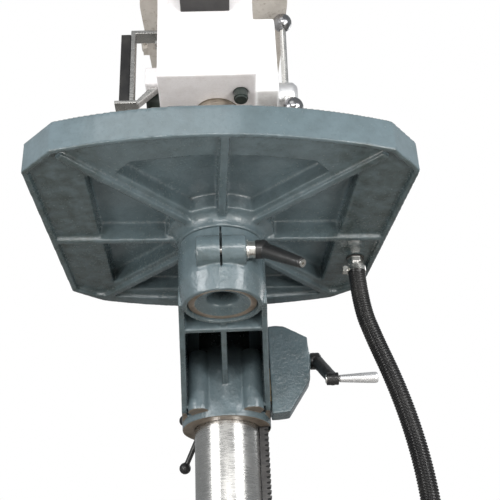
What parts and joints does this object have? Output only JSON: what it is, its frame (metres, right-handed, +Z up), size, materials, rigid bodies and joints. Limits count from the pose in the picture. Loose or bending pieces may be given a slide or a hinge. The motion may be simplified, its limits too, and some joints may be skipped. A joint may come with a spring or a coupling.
{
  "type": "drill press",
  "caption": "Floor-standing pillar drill with a ribbed coolant-trough table on a cast arm, geared table crank, drain hose and belt-driven quill head.",
  "frame": {"origin": "centre of the four floor bolt holes, on the floor", "axes": "+Z up, the operator stands at -Y and looks along +Y, +X on the operator's right"},
  "size_m": [0.5731, 0.9099, 1.656],
  "materials": {
    "enamel": "glossy blue-green grey enamel over cast iron",
    "head_paint": "light warm grey enamel",
    "black_paint": "satin black paint",
    "ground_steel": "ground or turned steel",
    "dark_steel": "blackened steel",
    "raw_iron": "machined raw cast iron",
    "zinc": "bright zinc or nickel plate",
    "aluminium": "satin aluminium",
    "black_plastic": "moulded black plastic",
    "green_plastic": "green push button",
    "red_plastic": "red mushroom button",
    "rubber": "black rubber"
  },
  "bodies": {
    "root": {"base_casting": "enamel", "column_flange": "enamel", "flange_bolts": "dark_steel", "column_tube": "ground_steel", "head_casting": "head_paint", "head_set_screws": "dark_steel", "side_bracket": "ground_steel", "bracket_pad": "black_paint", "bracket_screws": "zinc", "switch_box": "black_plastic", "spring_housing": "black_paint", "depth_stop_rod": "dark_steel", "idler_post": "ground_steel", "belt_guard_pan": "head_paint", "cover_hinge_pins": "dark_steel", "motor_rods": "ground_steel", "motor_plate": "head_paint", "motor_body": "black_paint", "fan_cover": "black_paint", "junction_box": "black_paint", "front_belt": "rubber", "rear_belt": "rubber"},
    "motor_rotor": {"motor_shaft": "ground_steel", "motor_pulley": "aluminium"},
    "idler": {"idler_pulley": "aluminium"},
    "spindle_drive": {"spindle_pulley": "aluminium"},
    "quill": {"quill": "ground_steel", "quill_bearings": "ground_steel"},
    "spindle": {"spindle": "ground_steel"},
    "feed": {"feed_shaft": "ground_steel", "feed_hub": "ground_steel", "feed_rods": "ground_steel", "feed_knobs": "black_plastic"},
    "cover": {"belt_cover": "head_paint", "cover_knob": "black_plastic"},
    "start_button": {"start_button": "green_plastic"},
    "stop_button": {"stop_button": "red_plastic"},
    "rack_carrier": {"rack": "ground_steel", "rack_collar_lower": "raw_iron", "rack_collar_upper": "raw_iron", "collar_screws": "dark_steel"},
    "arm": {"table_arm": "enamel", "table_clamp_bolt": "dark_steel", "clamp_spacer": "zinc", "gearbox_housing": "enamel"},
    "lift_gears": {"worm_wheel": "raw_iron", "lift_pinion": "ground_steel", "pinion_shaft": "ground_steel"},
    "crank": {"worm_shaft": "ground_steel", "crank_arm": "black_paint", "crank_grip_bolt": "zinc"},
    "crank_grip": {"crank_grip": "aluminium"},
    "clamp_lever": {"clamp_lever": "black_paint", "clamp_lever_screw": "zinc"},
    "column_lock_upper": {"column_lock_upper": "ground_steel"},
    "column_lock_lower": {"column_lock_lower": "ground_steel"},
    "table": {"table_casting": "enamel", "drain_fitting": "zinc", "hose_clamp": "zinc", "drain_hose": "rubber"}
  },
  "joints": [
    {"name": "arm_swing", "type": "hinge", "parent": "root", "child": "rack_carrier", "pos_m": [0, 0.19, 0.9], "axis": [0, 0, 1], "range_deg": [-90, 90]},
    {"name": "table_lift", "type": "slide", "parent": "rack_carrier", "child": "arm", "axis": [0, 0, 1], "range_m": [-0.32, 0.05]},
    {"name": "table_turn", "type": "hinge", "parent": "arm", "child": "table", "pos_m": [0, -0.13, 0.9], "axis": [0, 0, 1], "range_deg": [-27.3, 22.7]},
    {"name": "gear_turn", "type": "hinge", "parent": "arm", "child": "lift_gears", "pos_m": [0.0895, 0.19, 0.83], "axis": [0, 1, 0], "continuous": true},
    {"name": "crank_turn", "type": "hinge", "parent": "arm", "child": "crank", "pos_m": [0.16, 0.153, 0.8753], "axis": [1, 0, 0], "continuous": true},
    {"name": "grip_spin", "type": "hinge", "parent": "crank", "child": "crank_grip", "pos_m": [0.22, 0.073, 0.8093], "axis": [1, 0, 0], "continuous": true},
    {"name": "clamp_lever_turn", "type": "hinge", "parent": "arm", "child": "clamp_lever", "pos_m": [0.06, -0.1925, 0.916], "axis": [1, 0, 0], "range_deg": [-45, 60]},
    {"name": "column_lock_upper_turn", "type": "hinge", "parent": "arm", "child": "column_lock_upper", "pos_m": [-0.04, 0.288, 0.904], "axis": [1, 0, 0], "range_deg": [-35, 35]},
    {"name": "column_lock_lower_turn", "type": "hinge", "parent": "arm", "child": "column_lock_lower", "pos_m": [-0.04, 0.288, 0.81], "axis": [1, 0, 0], "range_deg": [-35, 35]},
    {"name": "feed_turn", "type": "hinge", "parent": "root", "child": "feed", "pos_m": [0, -0.077, 1.3], "axis": [1, 0, 0], "range_deg": [0, 366], "stiffness_Nm_per_rad": 0.15, "springref_deg": -916.73},
    {"name": "quill_feed", "type": "slide", "parent": "root", "child": "quill", "axis": [0, 0, -1], "range_m": [0, 0.115]},
    {"name": "spindle_spin", "type": "hinge", "parent": "quill", "child": "spindle", "pos_m": [0, -0.13, 1.3], "axis": [0, 0, 1], "continuous": true},
    {"name": "motor_spin", "type": "hinge", "parent": "root", "child": "motor_rotor", "pos_m": [0, 0.392, 1.5], "axis": [0, 0, 1], "continuous": true},
    {"name": "idler_spin", "type": "hinge", "parent": "root", "child": "idler", "pos_m": [0, 0.096, 1.55], "axis": [0, 0, 1], "continuous": true},
    {"name": "pulley_spin", "type": "hinge", "parent": "root", "child": "spindle_drive", "pos_m": [0, -0.13, 1.55], "axis": [0, 0, 1], "continuous": true},
    {"name": "cover_open", "type": "hinge", "parent": "root", "child": "cover", "pos_m": [-0.1435, 0, 1.5135], "axis": [0, -1, 0], "range_deg": [0, 100]},
    {"name": "start_press", "type": "slide", "parent": "root", "child": "start_button", "axis": [0, 1, 0], "range_m": [0, 0.003], "stiffness_N_per_m": 500, "springref_m": -0.004},
    {"name": "stop_press", "type": "slide", "parent": "root", "child": "stop_button", "axis": [0, 1, 0], "range_m": [0, 0.003], "stiffness_N_per_m": 500, "springref_m": -0.004}
  ],
  "couplings": [
    {"joint": "gear_turn", "follows": "table_lift", "rad_per_m": -55.556},
    {"joint": "crank_turn", "follows": "table_lift", "rad_per_m": 555.56},
    {"joint": "quill_feed", "follows": "feed_turn", "m_per_rad": 0.018},
    {"joint": "idler_spin", "follows": "motor_spin", "ratio": 0.88406},
    {"joint": "pulley_spin", "follows": "motor_spin", "ratio": 0.76812},
    {"joint": "spindle_spin", "follows": "motor_spin", "ratio": 0.76812}
  ]
}
